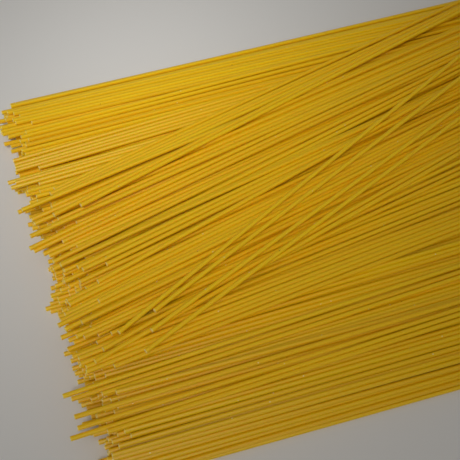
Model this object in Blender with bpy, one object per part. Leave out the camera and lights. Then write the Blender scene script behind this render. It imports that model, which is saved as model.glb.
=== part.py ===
# Bundle of dry spaghetti lying on a table: a flat mound of strands, a few sheaves laid
# across its top at a slant, and four loose strands crossing over those.
# Metres, +Z up. The origin is on the table under the middle of the heap, +X runs along the strands.
import math
import random

import bmesh
import bpy
from mathutils import Matrix, Vector

MM = 0.001

# A common spaghetti: 1.8 mm thick, 255 mm long.
STRAND_THICKNESS = 1.8 * MM
STRAND_LENGTH = 255 * MM
STRAND_PITCH = 1.9 * MM         # side by side, with the little gaps that round strands leave
RIB_DEPTH = 0.55 * MM           # how far the furrow between two strands lies under their tops
RIB_SHOULDERS = (0.0, 0.3, 0.7) # furrow, then the two shoulders of a strand, in pitches
LENGTH_SEGMENTS = 2

# The bed is the broad lower lay.
BED_STRANDS = 103
BED_MIDDLE = (-7 * MM, 2.5 * MM)
BED_TOP = 14.5 * MM
BED_EDGE = 2.0 * MM             # the outermost strands lie on the table
BED_SHOULDER = 27 * MM          # the sides round over within this width
BED_ANGLES = (-4.8, -2.4)       # degrees, near side to far side
BED_RAGGED = 4.0 * MM           # how far the cut ends step in and out

# The sheaves lie on the bed. Each starts at its near left corner and slants away to the right,
# its top rises or falls along its length, and its root reaches down into the bed.
SHEAVES = {
    "skirt_sheaf": dict(strands=17, corner=(-127 * MM, -49.7 * MM), angle=3.6, top=17.6 * MM, rise=-2 * MM,
                        camber=1.2 * MM, root=9 * MM),
    "near_sheaf": dict(strands=13, corner=(-130 * MM, -37.8 * MM), angle=9.6, top=21.2 * MM, rise=-1 * MM,
                       camber=2 * MM, root=9 * MM),
    "middle_sheaf": dict(strands=12, corner=(-127 * MM, -13.4 * MM), angle=9.2, top=21.4 * MM, rise=2 * MM,
                         camber=1.2 * MM, root=9 * MM),
    "far_sheaf": dict(strands=12, corner=(-130 * MM, 9.2 * MM), angle=8.2, top=20.2 * MM, rise=1.6 * MM,
                      camber=2 * MM, root=9 * MM),
    "thin_sheaf": dict(strands=4, corner=(-115.3 * MM, 34.5 * MM), angle=11.0, top=16.8 * MM, rise=-0.4 * MM,
                       camber=0.6 * MM, root=10 * MM),
    "upper_pair": dict(strands=2, corner=(-118.9 * MM, 20.6 * MM), angle=14.2, top=22.8 * MM, rise=-5.4 * MM,
                       camber=0.3 * MM, root=10 * MM),
}
SHEAF_RAGGED = 5.0 * MM

# The loose strands cross the sheaves: left end and direction. Each lies straight, a little clear
# of the sheaves, and slopes up to the right as they do.
LOOSE_STRANDS = (
    dict(start=(-120.8 * MM, -39.8 * MM, 22.6 * MM), angle=23.1, rise=3.0 * MM),
    dict(start=(-105.9 * MM, -35.6 * MM, 22.6 * MM), angle=21.0, rise=3.0 * MM),
    dict(start=(-109.4 * MM, -42.8 * MM, 22.4 * MM), angle=19.4, rise=2.6 * MM),
    dict(start=(-113.9 * MM, -49.8 * MM, 22.2 * MM), angle=19.6, rise=2.4 * MM),
)


def clear_scene():
    for old in list(bpy.data.objects):
        bpy.data.objects.remove(old, do_unlink=True)


def new_collection(name):
    group = bpy.data.collections.new(name)
    bpy.context.scene.collection.children.link(group)
    return group


def pasta_material(name, colour):
    material = bpy.data.materials.new(name)
    material.use_nodes = True
    shader = material.node_tree.nodes["Principled BSDF"]
    shader.inputs["Base Color"].default_value = (*colour, 1.0)
    shader.inputs["Roughness"].default_value = 0.42
    shader.inputs["Metallic"].default_value = 0.0
    return material


def furrowed_slab(name, strands, place, seed, ragged, root):
    """Closed slab whose top is ribbed like strands lying side by side.

    place(across, along) gives the top's point for a distance across the strands and a
    share of the length, both measured from the middle of the slab.
    """
    steps = random.Random(seed)
    slides = [steps.uniform(-ragged, ragged) for _ in range(strands)]
    rows = strands * len(RIB_SHOULDERS)

    bm = bmesh.new()
    bmesh.ops.create_grid(bm, x_segments=LENGTH_SEGMENTS, y_segments=rows, size=0.5)
    for vert in bm.verts:
        row = round((vert.co.y + 0.5) * rows)
        strand, shoulder = divmod(row, len(RIB_SHOULDERS))
        beside = slides[max(strand - 1, 0)], slides[min(strand, strands - 1)]
        if shoulder == 0:
            # A furrow ends where the shorter of its two strands does.
            slide = max(beside) if vert.co.x < 0 else min(beside)
            slide = 0.0 if vert.co.x == 0 else slide
        else:
            slide = beside[1]
        across = (strand + RIB_SHOULDERS[shoulder] - strands / 2) * STRAND_PITCH
        point = place(across, vert.co.x * STRAND_LENGTH + slide)
        point.z -= RIB_DEPTH if shoulder == 0 else 0.0
        vert.co = point

    extruded = bmesh.ops.extrude_face_region(bm, geom=bm.faces[:])["geom"]
    for vert in (item for item in extruded if isinstance(item, bmesh.types.BMVert)):
        vert.co.z = root
    bmesh.ops.dissolve_faces(bm, faces=[item for item in extruded if isinstance(item, bmesh.types.BMFace)])
    bmesh.ops.recalc_face_normals(bm, faces=bm.faces[:])

    mesh = bpy.data.meshes.new(name)
    bm.to_mesh(mesh)
    bm.free()
    return bpy.data.objects.new(name, mesh)


def bed_slab():
    half_width = BED_STRANDS * STRAND_PITCH / 2

    def place(across, along):
        inside = min((half_width - abs(across)) / BED_SHOULDER, 1.0)
        height = BED_EDGE + (BED_TOP - BED_EDGE) * (1 - (1 - inside) ** 2)
        height -= 0.5 * MM * math.sin(across / (13 * MM)) ** 2
        share = (across + half_width) / (2 * half_width)
        angle = math.radians(BED_ANGLES[0] + (BED_ANGLES[1] - BED_ANGLES[0]) * share)
        level = Vector((along * math.cos(angle), across + along * math.sin(angle), height))
        return level + Vector((*BED_MIDDLE, 0.0))

    return furrowed_slab("spaghetti_bundle", BED_STRANDS, place, 3, BED_RAGGED, 0.0)


def sheaf_slab(name, seed, strands, corner, angle, top, rise, camber, root):
    half_width = strands * STRAND_PITCH / 2
    turn = Matrix.Rotation(math.radians(angle), 3, "Z")
    middle = Vector((*corner, 0.0)) + turn @ Vector((STRAND_LENGTH / 2, half_width, 0.0))

    def place(across, along):
        height = top + rise * (along / STRAND_LENGTH + 0.5) - camber * (across / half_width) ** 2
        return middle + turn @ Vector((along, across, height))

    return furrowed_slab(name, strands, place, seed, SHEAF_RAGGED, root)


def loose_strand(number, start, angle, rise):
    reach = Vector((math.cos(math.radians(angle)), math.sin(math.radians(angle)), rise / STRAND_LENGTH))
    curve = bpy.data.curves.new(f"loose_strand_{number}", "CURVE")
    curve.dimensions = "3D"
    curve.bevel_depth = STRAND_THICKNESS / 2
    curve.bevel_resolution = 2
    curve.use_fill_caps = True
    spline = curve.splines.new("POLY")
    spline.points.add(1)
    for point, along in zip(spline.points, (0.0, STRAND_LENGTH)):
        point.co = (*(Vector(start) + reach.normalized() * along), 1.0)
    strand = bpy.data.objects.new(curve.name, curve)
    strand.data.materials.append(pasta_material(f"loose_pasta_{number}", (0.63, 0.36, 0.03)))
    return strand


def join_on(body, piece):
    union = body.modifiers.new(f"add_{piece.name}", "BOOLEAN")
    union.operation = "UNION"
    union.object = piece
    piece.hide_render = True
    piece.display_type = "WIRE"


def centre_heap(pieces):
    """Slides everything level so that the heap's box is centred on the origin."""
    bpy.context.view_layer.update()
    graph = bpy.context.evaluated_depsgraph_get()
    points = []
    for piece in pieces:
        shown = piece.evaluated_get(graph)
        points += [vert.co.copy() for vert in shown.to_mesh().vertices]
        shown.to_mesh_clear()
    for axis in (0, 1):
        middle = (min(point[axis] for point in points) + max(point[axis] for point in points)) / 2
        for item in bpy.data.objects:
            item.location[axis] -= middle


def build():
    clear_scene()
    parts = new_collection("spaghetti")
    cutters = new_collection("sheaves")

    bundle = bed_slab()
    bundle.data.materials.append(pasta_material("bundle_pasta", (0.60, 0.33, 0.03)))
    parts.objects.link(bundle)
    for seed, (name, sizes) in enumerate(SHEAVES.items()):
        sheaf = sheaf_slab(name, seed, **sizes)
        cutters.objects.link(sheaf)
        join_on(bundle, sheaf)

    loose = [loose_strand(number, **sizes) for number, sizes in enumerate(LOOSE_STRANDS, start=1)]
    for strand in loose:
        parts.objects.link(strand)
    centre_heap([bundle] + loose)


build()
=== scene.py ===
import math
import bpy
import numpy as np
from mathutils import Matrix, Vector


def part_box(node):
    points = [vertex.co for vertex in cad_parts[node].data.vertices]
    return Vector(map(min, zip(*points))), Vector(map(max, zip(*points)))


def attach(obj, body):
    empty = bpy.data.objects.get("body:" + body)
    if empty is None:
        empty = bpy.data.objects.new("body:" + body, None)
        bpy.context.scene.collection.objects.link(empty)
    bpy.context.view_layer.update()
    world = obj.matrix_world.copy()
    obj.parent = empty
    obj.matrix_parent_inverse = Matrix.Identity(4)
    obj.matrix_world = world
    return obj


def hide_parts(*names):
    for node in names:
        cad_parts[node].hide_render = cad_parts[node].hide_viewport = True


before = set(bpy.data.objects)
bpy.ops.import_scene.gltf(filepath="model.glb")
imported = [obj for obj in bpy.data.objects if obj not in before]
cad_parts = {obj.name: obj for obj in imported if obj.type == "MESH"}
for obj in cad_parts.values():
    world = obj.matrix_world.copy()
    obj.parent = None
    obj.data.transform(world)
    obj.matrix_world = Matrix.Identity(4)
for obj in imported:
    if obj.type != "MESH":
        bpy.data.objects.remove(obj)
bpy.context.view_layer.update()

mm = 0.001
dice = np.random.default_rng(5)


# The lay of the heap is worked out in millimetres. Each strand is a gentle curve: its middle,
# half its reach along X, and a few bend terms sideways and up. Slices across the heap show
# where strands press into each other.
strand = {"thick": 1.8, "long": 255.0, "bends": 5}
slices = np.arange(-160.0, 160.1, 5.0)


def bendTerms(u):
    terms = [np.ones_like(u), u]
    for k in range(2, strand["bends"]):
        terms.append(((2 * k - 1) * u * terms[-1] - (k - 1) * terms[-2]) / k)
    return np.stack(terms, axis=-1)


# Strands lie side by side in small rafts of a few, and each raft is turned a little its own way.
raft = {"pitch": 1.825, "spread": 0.09, "bow": 0.3, "waver": 0.08, "slide": 2.0}


def layRaft(count, middle, height, slant, back=0.0):
    laid = []
    bow = dice.normal(0, raft["bow"])
    for k in range(count):
        turn = slant + dice.normal(0, raft["spread"])
        x = middle[0] + dice.normal(0, raft["slide"]) if back == 0 else middle[0]
        x -= (k > 0) * dice.uniform(back, 1.5 * back)
        y = middle[1] + (k - (count - 1) / 2) * raft["pitch"] / math.cos(math.radians(slant))
        y += math.tan(math.radians(turn)) * (x - middle[0])
        laid.append((x, y, height, turn, bow + dice.normal(0, raft["waver"])))
    return laid


bed = {
    "rows": 7, "middle": (-7.0, 2.5), "halfWidth": 98.0, "top": 13.6, "shoulder": 27.0, "edge": 2.0, "rise": 1.68,
    "slantLow": (-4.8, -2.4),     # degrees at the table, near side and far side
    "slantTop": ((-98, -5.0), (-60, -2.8), (-30, 0.0), (0, 0.8), (40, -1.5), (98, -2.8)),
    "turnLow": 0.15, "turnTop": 0.5, "slideRaft": 2.4, "fewest": 3, "most": 11, "parting": (0.05, 0.25, 0.45),
}


def bedCrown(y):
    inside = np.clip((bed["halfWidth"] - abs(y)) / bed["shoulder"], 0, 1)
    return np.where(inside > 0, bed["edge"] + (bed["top"] - bed["edge"]) * (1 - (1 - inside) ** 2), 0)


def layBed():
    laid = []
    ys = np.arange(0, bed["halfWidth"], 0.5)
    topY, topSlant = zip(*bed["slantTop"])
    for row in range(bed["rows"]):
        edge = ys[bedCrown(ys) >= strand["thick"] / 2 + row * 1.56 + 0.5].max()
        y = -edge + dice.uniform(0, raft["pitch"])
        while y < edge:
            count = int(min(dice.integers(bed["fewest"], bed["most"]), (edge - y) / raft["pitch"] + 1))
            half = (count - 1) / 2 * raft["pitch"]
            share = (y + half + bed["halfWidth"]) / (2 * bed["halfWidth"])
            slant = bed["slantLow"][0] + (bed["slantLow"][1] - bed["slantLow"][0]) * share
            slant += (np.interp(y + half, topY, topSlant) - slant) * row / bed["rows"]
            slant += dice.normal(0, bed["turnLow"] + (bed["turnTop"] - bed["turnLow"]) * row / bed["rows"])
            middle = (bed["middle"][0] + dice.normal(0, bed["slideRaft"]), bed["middle"][1] + y + half)
            laid += layRaft(count, middle, strand["thick"] / 2 + row * bed["rise"], slant)
            y += 2 * half + raft["pitch"] + dice.uniform(bed["parting"][0], bed["parting"][1 if row < 2 else 2])
    return laid


# The band is two layers that lie across the bed, slanting away to the right.
band = {
    "leftEnd": -130.0, "layers": ((-37.8, 32.0), (-24.0, 30.0)), "lift": 1.2, "rise": 1.75,
    "slant": ((-36, 9.6), (-10, 9.6), (12, 8.8), (34, 7.4)),
    "turn": 0.6, "slide": 1.5, "fewest": 3, "most": 9, "parting": (0.0, 0.35),
}


def middleOf(left, slant):
    reach = strand["long"] / 2 * math.cos(math.radians(slant))
    return left[0] + reach, left[1] + math.tan(math.radians(slant)) * reach


bedTop = strand["thick"] / 2 + bed["rows"] * bed["rise"]


def layBand():
    laid = []
    leftY, leftSlant = zip(*band["slant"])
    for layer, (near, far) in enumerate(band["layers"]):
        y = near
        while y < far:
            count = int(dice.integers(band["fewest"], band["most"]))
            half = (count - 1) / 2 * raft["pitch"]
            slant = float(np.interp(y + half, leftY, leftSlant))
            middle = middleOf((band["leftEnd"] + dice.normal(0, band["slide"]), y + half), slant)
            height = bedTop + band["lift"] + layer * band["rise"]
            laid += layRaft(count, middle, height, slant + dice.normal(0, band["turn"]))
            y += 2 * half + raft["pitch"] + dice.uniform(*band["parting"])
    return laid


# Single rafts lie beside and across the band. Each is given by its near left corner, its slant
# in degrees, and how high it starts over the bed. The near strand of each reaches least far left.
looseBack = 9.0
loose = [
    {"count": 6, "start": (-126, -49.7), "slant": 3.0, "lift": 0.3},
    {"count": 6, "start": (-128, -38.4), "slant": 3.8, "lift": 0.4},
    {"count": 5, "start": (-127, -27.0), "slant": 5.0, "lift": 0.5},
    {"count": 3, "start": (-123.3, -36.7), "slant": 7.6, "lift": 4.6},
    {"count": 4, "start": (-129.0, -31.2), "slant": 9.6, "lift": 4.6},
    {"count": 5, "start": (-124.1, -26.0), "slant": 10.6, "lift": 4.7},
    {"count": 4, "start": (-115.7, -15.7), "slant": 8.4, "lift": 4.6},
    {"count": 3, "start": (-116.8, -9.9), "slant": 10.6, "lift": 4.7},
    {"count": 2, "start": (-120.4, -4.1), "slant": 8.4, "lift": 4.6},
    {"count": 3, "start": (-123.7, -1.4), "slant": 10.8, "lift": 4.8},
    {"count": 3, "start": (-125.3, 4.3), "slant": 8.6, "lift": 4.6},
    {"count": 4, "start": (-130.0, 9.9), "slant": 9.4, "lift": 4.8},
    {"count": 3, "start": (-122.4, 16.6), "slant": 7.2, "lift": 4.7},
    {"count": 3, "start": (-129.0, 22.2), "slant": 8.0, "lift": 4.7},
    {"count": 3, "start": (-130.0, 27.8), "slant": 8.8, "lift": 4.6},
    {"count": 1, "start": (-122.1, -17.5), "slant": 13.6, "lift": 6.8},
    {"count": 4, "start": (-115.3, 34.5), "slant": 11.0, "lift": 4.6},
    {"count": 2, "start": (-118.9, 20.6), "slant": 14.2, "lift": 6.6},
    {"count": 5, "start": (-130, 53.5), "slant": 0.8, "lift": 0.0},
    {"count": 4, "start": (-132, 45.5), "slant": -0.2, "lift": 0.0},
    {"count": 3, "start": (-133, -58.0), "slant": -0.8, "lift": 0.8},
    {"count": 4, "start": (-135, -71.0), "slant": -2.2, "lift": 0.6},
]


# Strays lie singly or in pairs over the band, each at its own small angle to it.
stray = {"leftEnd": -132.0, "slide": 1.5, "from": -44.0, "to": 8.0, "step": (9.0, 16.0), "lift": 5.4, "turn": 1.9}


def layStrays():
    laid = []
    leftY, leftSlant = zip(*band["slant"])
    y = stray["from"]
    while y < stray["to"]:
        slant = float(np.interp(y, leftY, leftSlant)) + float(np.clip(dice.normal(0, stray["turn"]), -4, 4))
        count = int(dice.integers(1, 3))
        middle = middleOf((stray["leftEnd"] + dice.normal(0, stray["slide"]), y), slant)
        laid += layRaft(count, middle, bedTop + stray["lift"], slant)
        y += dice.uniform(*stray["step"])
    return laid


def layLoose(count, start, slant, lift):
    half = (count - 1) / 2 * raft["pitch"]
    middle = middleOf((start[0], start[1] + strand["thick"] / 2 + half), slant)
    return layRaft(count, middle, bedTop + lift, slant, looseBack)


# Four loose strands cross the sheaves: left end and direction.
crossing = [
    {"start": (-120.8, -39.8), "slant": 23.1},
    {"start": (-105.9, -35.6), "slant": 21.0},
    {"start": (-109.4, -42.8), "slant": 19.4},
    {"start": (-113.9, -49.8), "slant": 19.6},
]


def layCrossing(start, slant):
    return [(*middleOf(start, slant), bedTop + 8.8, slant, 0.0)]


def makeHeap(laid, firm):
    rows = np.array(laid)
    slant = np.radians(rows[:, 3])
    heap = {"count": len(rows), "x": rows[:, 0], "reach": strand["long"] / 2 * np.cos(slant), "firm": firm}
    heap["side"] = np.zeros((len(rows), strand["bends"]))
    heap["up"] = np.zeros((len(rows), strand["bends"]))
    heap["side"][:, 0] = rows[:, 1]
    heap["side"][:, 1] = np.tan(slant) * heap["reach"]
    heap["side"][:, 2] = rows[:, 4]
    heap["up"][:, 0] = rows[:, 2]
    heap["bow"] = rows[:, 4]
    heap["aim"] = heap["side"][:, 1].copy()
    return heap


settling = {
    "steps": 360, "press": 0.3, "calm": 0.2, "drop": 0.05, "hold": 0.45, "stride": 1.4,
    "gap": 0.0, "keep": 4.0, "stiffUp": (1, 1, 4, 21, 61), "stiffSide": (1, 5, 9, 1e6, 1e6),
}


def pointPairs(slot, y, z, reach):
    # strands whose cuts through the same slice lie within reach, found through a grid of cells
    wide = 2000
    cell = ((slot * wide) + np.floor((z + 20) / reach).astype(int)) * wide + np.floor((y + 300) / reach).astype(int)
    order = np.argsort(cell, kind="stable")
    ranked = cell[order]
    firsts, seconds = [], []
    for sideways, up in ((0, 0), (1, 0), (-1, 1), (0, 1), (1, 1)):
        wanted = cell + up * wide + sideways
        low = np.searchsorted(ranked, wanted, "left")
        many = np.searchsorted(ranked, wanted, "right") - low
        a = np.repeat(np.arange(len(cell)), many)
        b = order[np.repeat(low, many) + np.arange(len(a)) - np.repeat(np.cumsum(many) - many, many)]
        if (sideways, up) == (0, 0):
            a, b = a[a < b], b[a < b]
        firsts.append(a)
        seconds.append(b)
    a, b = np.concatenate(firsts), np.concatenate(seconds)
    close = (y[a] - y[b]) ** 2 + (z[a] - z[b]) ** 2 < reach ** 2
    return a[close], b[close]


def settle(heap):
    share = (slices[None] - heap["x"][:, None]) / heap["reach"][:, None]
    who, slot = np.nonzero(abs(share) <= 1)
    terms = bendTerms(share[who, slot])
    squares = (terms[:, :, None] * terms[:, None, :]).reshape(len(who), -1)
    level = np.cos(np.arctan2(heap["side"][:, 1], heap["reach"]))[who]
    thick = strand["thick"] + settling["gap"]
    steps, points, bends = settling["steps"], len(who), strand["bends"]
    stiffUp, stiffSide = np.diag(settling["stiffUp"]), np.diag(settling["stiffSide"])

    def gathered(values):
        return np.stack([np.bincount(who, values * terms[:, k], heap["count"]) for k in range(bends)], 1)

    for step in range(steps):
        done = step / steps
        calm = max(0.0, 1 - (done - 1 + settling["calm"]) / (settling["calm"] * 0.6))
        heap["up"][:, 0] -= settling["drop"] * min(1.0, calm)
        y = (terms * heap["side"][who]).sum(1)
        z = (terms * heap["up"][who]).sum(1)
        if step % 6 == 0:
            a, b = pointPairs(slot, y, z, thick + 0.5)
        dy, dz = (y[a] - y[b]) * level[a], z[a] - z[b]
        apart = np.sqrt(dy * dy + dz * dz) + 1e-9
        hit = apart < thick
        i, j, apart = a[hit], b[hit], apart[hit]
        deep = thick - apart
        dy, dz = dy[hit] / apart, dz[hit] / apart
        weight = deep / 0.1 + 0.05
        # the upper strand gives way more than the one it rests on
        hold = 0.0 if done < settling["press"] else settling["hold"]
        upper = 0.5 + hold * np.clip(dz * apart / 0.9, -1, 1)
        push = weight * deep
        moveY = np.bincount(i, push * dy * upper, points) - np.bincount(j, push * dy * (1 - upper), points)
        moveZ = np.bincount(i, push * dz * upper, points) - np.bincount(j, push * dz * (1 - upper), points)
        total = np.bincount(i, weight, points) + np.bincount(j, weight, points)
        sunk = np.maximum(0, thick / 2 - z)
        floorWeight = np.where(sunk > 0, sunk / 0.1 + 0.05, 0) * 2
        moveZ += floorWeight * sunk
        total += floorWeight
        grip = np.stack([np.bincount(who, total * squares[:, k], heap["count"]) for k in range(bends ** 2)], 1)
        grip = grip.reshape(-1, bends, bends)
        up, side = gathered(moveZ), gathered(moveY)
        up[:, 2:] -= np.diag(stiffUp)[2:] * heap["up"][:, 2:]
        side[:, 1] -= settling["keep"] * (heap["side"][:, 1] - heap["aim"])
        side[:, 2] -= stiffSide[2, 2] * (heap["side"][:, 2] - heap["bow"])
        heap["up"] += settling["stride"] * np.linalg.solve(grip + stiffUp, up[:, :, None])[:, :, 0]
        moved = settling["stride"] * np.linalg.solve(grip + stiffSide, side[:, :, None])[:, :, 0]
        heap["side"] += moved * (1 - heap["firm"])[:, None]
    print("settled", heap["count"], "strands, deepest overlap", round(float(deep.max()), 2), "mm")


# The CAD's first loose strand says where the heap's own middle is in the frame.
low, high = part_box("loose_strand_1")
tipTurn = math.radians(crossing[0]["slant"])
heapMiddle = Vector((
    low.x + strand["thick"] / 2 * mm * math.sin(tipTurn) - crossing[0]["start"][0] * mm,
    low.y + strand["thick"] / 2 * mm * math.cos(tipTurn) - crossing[0]["start"][1] * mm,
    0.0))

bedLaid = layBed()
bandLaid = layBand()
strayLaid = layStrays()
looseLaid = [one for few in loose for one in layLoose(**few)]
sheafLaid = bandLaid + strayLaid + looseLaid
crossLaid = [one for single in crossing for one in layCrossing(**single)]
firm = np.repeat([0.0, 0.3, 0.6, 0.8, 0.9], [len(bedLaid), len(bandLaid), len(strayLaid), len(looseLaid), len(crossLaid)])
heap = makeHeap(bedLaid + sheafLaid + crossLaid, firm)
print("laid", len(bedLaid), "bed,", len(sheafLaid), "sheaf and", len(crossLaid), "crossing strands")
settle(heap)


# Materials
def linearColour(code):
    values = [int(code[k:k + 2], 16) / 255 for k in (1, 3, 5)]
    return (*[v / 12.92 if v <= 0.04045 else ((v + 0.055) / 1.055) ** 2.4 for v in values], 1.0)


def addNode(tree, kind, inputs=None, **settings):
    node = tree.nodes.new(kind)
    for name, value in settings.items():
        setattr(node, name, value)
    for name, value in (inputs or {}).items():
        if isinstance(value, bpy.types.NodeSocket):
            tree.links.new(value, node.inputs[name])
        else:
            node.inputs[name].default_value = value
    return node


def blankMaterial(name):
    material = bpy.data.materials.new(name)
    material.use_nodes = True
    tree = material.node_tree
    return material, tree, tree.nodes["Principled BSDF"]


pasta = {
    "pale": "#FFCF0E", "deep": "#F9C30A", "broken": "#FFEFA6",
    "speck": "#FFE7A0", "speckSize": 0.6, "speckApart": 5.5,       # millimetres
    "bran": "#B27A1A", "branSize": 0.5, "branApart": 9.0,
    "dragWide": 0.3, "dragLong": 9.0, "dragDeep": 0.012, "dragTone": 0.35,
    "roughness": 0.42, "satin": 0.08, "ior": 1.5, "shine": 0.4,
    "glow": (1.0, 0.78, 0.12), "depth": 0.9,
}


# Durum semolina pressed through a smooth die and dried slowly: a clear amber yellow that light
# soaks into, satin skin with faint drag lines along each strand, starchy specks, the odd bran fleck.
def driedPasta():
    material, tree, shader = blankMaterial("extruded durum pasta, slowly dried")
    coords = addNode(tree, "ShaderNodeTexCoord").outputs["Object"]

    def sum3(kind, a, b, c=0.0):
        return addNode(tree, "ShaderNodeMath", {0: a, 1: b, 2: c}, operation=kind).outputs[0]

    def painted(below, colour, share):
        mix = addNode(tree, "ShaderNodeMix", {0: share, 6: below, 7: colour}, data_type="RGBA")
        return mix.outputs[2]

    def flecks(size, apart):
        cells = addNode(tree, "ShaderNodeTexVoronoi", {"Vector": coords, "Scale": 1 / (apart * mm)})
        inside = addNode(tree, "ShaderNodeMapRange", {0: cells.outputs["Distance"], 1: 0.55 * size / apart,
                                                      2: 0.35 * size / apart, 3: 0.0, 4: 1.0})
        return inside.outputs[0]

    # the drag lines are really a tenth of this width, and drawn wider so that they show
    along = addNode(tree, "ShaderNodeAttribute", attribute_name="along").outputs["Fac"]
    section = addNode(tree, "ShaderNodeAttribute", attribute_name="section").outputs["Vector"]
    around = addNode(tree, "ShaderNodeSeparateXYZ", {0: section})
    lengthwise = sum3("MULTIPLY", along, pasta["dragWide"] / pasta["dragLong"])
    line = addNode(tree, "ShaderNodeCombineXYZ", {0: around.outputs[0], 1: around.outputs[1], 2: lengthwise})
    drag = addNode(tree, "ShaderNodeTexNoise",
                   {"Vector": line.outputs[0], "Scale": 1 / pasta["dragWide"], "Detail": 2.0}).outputs["Fac"]

    tone = addNode(tree, "ShaderNodeAttribute", attribute_name="tone").outputs["Fac"]
    streaked = sum3("MULTIPLY_ADD", sum3("SUBTRACT", drag, 0.5), pasta["dragTone"] * 2, tone)
    body = painted(linearColour(pasta["pale"]), linearColour(pasta["deep"]), streaked)
    body = painted(body, linearColour(pasta["speck"]), flecks(pasta["speckSize"], pasta["speckApart"]))
    body = painted(body, linearColour(pasta["bran"]), flecks(pasta["branSize"], pasta["branApart"]))
    tip = addNode(tree, "ShaderNodeAttribute", attribute_name="tip").outputs["Fac"]
    body = painted(body, linearColour(pasta["broken"]), sum3("MULTIPLY", tip, 0.8))
    tree.links.new(body, shader.inputs["Base Color"])
    rough = addNode(tree, "ShaderNodeMapRange", {0: drag, 1: 0.3, 2: 0.7, 3: pasta["roughness"] - pasta["satin"],
                                                 4: pasta["roughness"] + pasta["satin"]})
    tree.links.new(rough.outputs[0], shader.inputs["Roughness"])
    bump = addNode(tree, "ShaderNodeBump", {"Height": drag, "Strength": 0.6, "Distance": pasta["dragDeep"] * mm})
    tree.links.new(bump.outputs[0], shader.inputs["Normal"])
    shader.inputs["IOR"].default_value = pasta["ior"]
    shader.inputs["Specular IOR Level"].default_value = pasta["shine"]
    shader.inputs["Subsurface Weight"].default_value = 0.7
    shader.inputs["Subsurface Radius"].default_value = pasta["glow"]
    shader.inputs["Subsurface Scale"].default_value = pasta["depth"] * mm
    return material


cutEnd = {"pale": "#FFE890", "dull": "#FFDA62", "grain": 0.35, "pit": 0.05, "roughness": 0.75}


# Where a strand was sheared off the surface is crushed: chalky, paler and rough, with small pits.
def cutPasta():
    material, tree, shader = blankMaterial("sheared end of dried pasta")
    coords = addNode(tree, "ShaderNodeTexCoord").outputs["Object"]
    grain = addNode(tree, "ShaderNodeTexNoise",
                    {"Vector": coords, "Scale": 1 / (cutEnd["grain"] * mm), "Detail": 3.0}).outputs["Fac"]
    patch = addNode(tree, "ShaderNodeMapRange", {0: grain, 1: 0.4, 2: 0.65, 3: 0.0, 4: 1.0})
    mix = addNode(tree, "ShaderNodeMix", {0: patch.outputs[0], 6: linearColour(cutEnd["pale"]),
                                          7: linearColour(cutEnd["dull"])}, data_type="RGBA")
    tree.links.new(mix.outputs[2], shader.inputs["Base Color"])
    bump = addNode(tree, "ShaderNodeBump", {"Height": grain, "Strength": 0.8, "Distance": cutEnd["pit"] * mm})
    tree.links.new(bump.outputs[0], shader.inputs["Normal"])
    shader.inputs["Roughness"].default_value = cutEnd["roughness"]
    shader.inputs["IOR"].default_value = pasta["ior"]
    shader.inputs["Specular IOR Level"].default_value = 0.3
    return material


skin, cutFace = driedPasta(), cutPasta()


# Strand tubes
def buildTubeTree():
    tree = bpy.data.node_groups.new("strand tubes", "GeometryNodeTree")
    tree.is_modifier = True
    for name, kind in (("Geometry", "Geometry"), ("Thickness", "Float"), ("Sides", "Int"),
                       ("Skin", "Material"), ("Cut Face", "Material")):
        tree.interface.new_socket(name, in_out="INPUT", socket_type="NodeSocket" + kind)
    tree.interface.new_socket("Geometry", in_out="OUTPUT", socket_type="NodeSocketGeometry")
    given = addNode(tree, "NodeGroupInput").outputs
    girth = addNode(tree, "GeometryNodeInputNamedAttribute", {"Name": "girth"}, data_type="FLOAT")
    curve = addNode(tree, "GeometryNodeMeshToCurve", {"Mesh": given["Geometry"]})
    sized = addNode(tree, "GeometryNodeSetCurveRadius",
                    {"Curve": curve.outputs["Curve"], "Radius": girth.outputs["Attribute"]})
    half = addNode(tree, "ShaderNodeMath", {0: given["Thickness"], 1: 0.5}, operation="MULTIPLY")
    ring = addNode(tree, "GeometryNodeCurvePrimitiveCircle", {"Resolution": given["Sides"], "Radius": half.outputs[0]})
    place = addNode(tree, "GeometryNodeInputPosition").outputs["Position"]
    inMillimetres = addNode(tree, "ShaderNodeVectorMath", {0: place}, operation="SCALE")
    inMillimetres.inputs["Scale"].default_value = 1 / mm
    marked = addNode(tree, "GeometryNodeStoreNamedAttribute",
                     {"Geometry": ring.outputs["Curve"], "Name": "section", "Value": inMillimetres.outputs["Vector"]},
                     data_type="FLOAT_VECTOR", domain="POINT")
    tube = addNode(tree, "GeometryNodeCurveToMesh",
                   {"Curve": sized.outputs["Curve"], "Profile Curve": marked.outputs["Geometry"], "Fill Caps": True})
    corners = addNode(tree, "GeometryNodeInputMeshFaceNeighbors").outputs["Vertex Count"]
    isEnd = addNode(tree, "FunctionNodeCompare", {2: corners, 3: 4}, data_type="INT", operation="GREATER_THAN")
    real = addNode(tree, "GeometryNodeRealizeInstances", {"Geometry": tube.outputs["Mesh"]})
    dressed = addNode(tree, "GeometryNodeSetMaterial", {"Geometry": real.outputs["Geometry"], "Material": given["Skin"]})
    ends = addNode(tree, "GeometryNodeSetMaterial",
                   {"Geometry": dressed.outputs["Geometry"], "Selection": isEnd.outputs["Result"],
                    "Material": given["Cut Face"]})
    addNode(tree, "NodeGroupOutput", {"Geometry": ends.outputs["Geometry"]})
    return tree


tubeTree = buildTubeTree()
tube = {"spans": 6, "chamfer": 0.45, "chamferGirth": 0.84, "thicknessSpread": 0.015}


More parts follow.
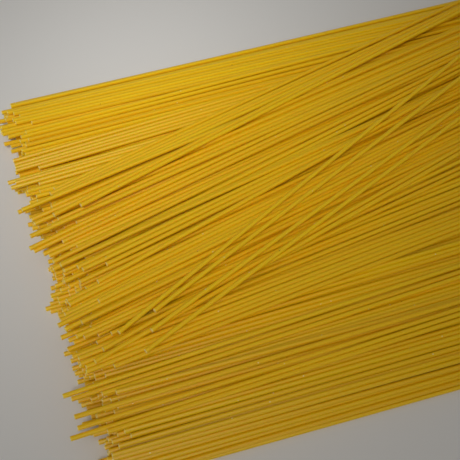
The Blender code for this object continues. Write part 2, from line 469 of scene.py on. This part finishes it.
def strandPiece(name, which, sides, nodes):
    spans = np.linspace(-1, 1, tube["spans"] + 1)
    lip = tube["chamfer"] / (strand["long"] / 2)
    shares = np.concatenate([[-1, -1 + lip], spans[1:-1], [1 - lip, 1]])
    terms = bendTerms(shares)
    count = len(shares)
    x = heap["x"][which, None] + heap["reach"][which, None] * shares
    y = heap["side"][which] @ terms.T
    z = heap["up"][which] @ terms.T
    points = np.stack([x, y, z], -1).reshape(-1, 3) * mm + np.array(heapMiddle)
    starts = np.arange(len(which))[:, None] * count + np.arange(count - 1)
    edges = np.stack([starts, starts + 1], -1).reshape(-1, 2)
    mesh = bpy.data.meshes.new(name)
    mesh.from_pydata(points.tolist(), edges.tolist(), [])
    chance = np.random.default_rng(7 + len(which))
    whole = np.ones((len(which), count))
    girth = chance.normal(1, tube["thicknessSpread"], (len(which), 1)) * whole
    girth[:, [0, -1]] *= tube["chamferGirth"]
    tip = 0 * whole
    tip[:, [0, -1]] = 1
    tone = chance.beta(2, 2, (len(which), 1)) * whole
    along = chance.uniform(0, 500, (len(which), 1)) + shares * strand["long"] / 2
    for label, values in (("girth", girth), ("tip", tip), ("tone", tone), ("along", along)):
        mesh.attributes.new(label, "FLOAT", "POINT").data.foreach_set("value", values.ravel().astype(np.float32))
    evenArea = math.sqrt(math.tau / sides / math.sin(math.tau / sides))   # as much as a round strand
    guide = bpy.data.objects.new(name, mesh)
    bpy.context.collection.objects.link(guide)
    modifier = guide.modifiers.new("tubes", "NODES")
    modifier.node_group = tubeTree
    keys = {item.name: item.identifier for item in tubeTree.interface.items_tree if item.in_out == "INPUT"}
    modifier[keys["Thickness"]] = strand["thick"] * mm * evenArea
    modifier[keys["Sides"]] = sides
    modifier[keys["Skin"]] = skin
    modifier[keys["Cut Face"]] = cutFace
    bpy.context.view_layer.update()
    made = bpy.data.meshes.new_from_object(guide.evaluated_get(bpy.context.evaluated_depsgraph_get()))
    made.name = name
    guide.modifiers.clear()
    guide.data = made
    made.shade_smooth()
    made.set_sharp_from_angle(angle=math.radians(35))
    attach(guide, "root")
    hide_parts(*nodes)
    print(name, len(which), "strands,", sum(len(face.vertices) - 2 for face in made.polygons), "triangles")
    return guide


bedCount, sheafCount = len(bedLaid), len(sheafLaid)
strandPiece("bed_strands", np.arange(bedCount), 8, ["spaghetti_bundle"])
strandPiece("sheaf_strands", np.arange(bedCount, bedCount + sheafCount), 10, ["spaghetti_bundle"])
for number in range(len(crossing)):
    which = np.array([bedCount + sheafCount + number])
    strandPiece(f"crossing_strand_{number + 1}", which, 16, [f"loose_strand_{number + 1}"])


# Table, camera and light
def tableTop():
    bpy.ops.mesh.primitive_plane_add(size=12.0)
    table = bpy.context.object
    table.name = "table_top"
    material, tree, shader = blankMaterial("plain pale table")
    shader.inputs["Base Color"].default_value = linearColour("#E9E6E0")
    shader.inputs["Roughness"].default_value = 0.7
    table.data.materials.append(material)


tableTop()

shot = {"target": (-66.0, -10.0, 19.8), "azimuth": -21.0, "elevation": 55.0, "distance": 320.0, "focal": 800.0}


def placeCamera():
    camera = bpy.data.objects.new("camera", bpy.data.cameras.new("camera"))
    bpy.context.collection.objects.link(camera)
    turn, rise = math.radians(shot["azimuth"]), math.radians(shot["elevation"])
    towards = Vector((-math.sin(turn) * math.cos(rise), math.cos(turn) * math.cos(rise), -math.sin(rise)))
    target = heapMiddle + Vector(shot["target"]) * mm
    camera.location = target - towards * shot["distance"] * mm
    camera.rotation_euler = towards.to_track_quat("-Z", "Y").to_euler()
    camera.data.sensor_width = 36.0
    camera.data.lens = shot["focal"] / 460 * 36.0
    camera.data.clip_start = 0.01
    bpy.context.scene.camera = camera
    return camera, target


camera, target = placeCamera()

lights = {
    "softBox": {"kind": "AREA", "size": 0.7, "power": 1.8, "from": (-0.34, -0.50, 0.94), "aim": (0, 0, 0)},
    "spot": {"kind": "SPOT", "size": 0.1, "power": 27.4, "from": (-0.34, -0.50, 0.94), "aim": (-0.074, 0.090, 0.015),
             "cone": 15.0},
}


def placeLights():
    for name, one in lights.items():
        lamp = bpy.data.lights.new(name, one["kind"])
        lamp.energy = one["power"]
        if one["kind"] == "AREA":
            lamp.shape = "SQUARE"
            lamp.size = one["size"]
        else:
            lamp.shadow_soft_size = one["size"]
            lamp.spot_size = math.radians(one["cone"])
            lamp.spot_blend = 1.0
        holder = bpy.data.objects.new(name, lamp)
        bpy.context.collection.objects.link(holder)
        holder.location = one["from"]
        holder.rotation_euler = (Vector(one["aim"]) - Vector(one["from"])).to_track_quat("-Z", "Y").to_euler()
    world = bpy.context.scene.world or bpy.data.worlds.new("studio")
    bpy.context.scene.world = world
    world.use_nodes = True
    world.node_tree.nodes["Background"].inputs["Color"].default_value = (1, 1, 1, 1)
    world.node_tree.nodes["Background"].inputs["Strength"].default_value = 0.21
    bpy.context.scene.view_settings.view_transform = "Standard"


placeLights()
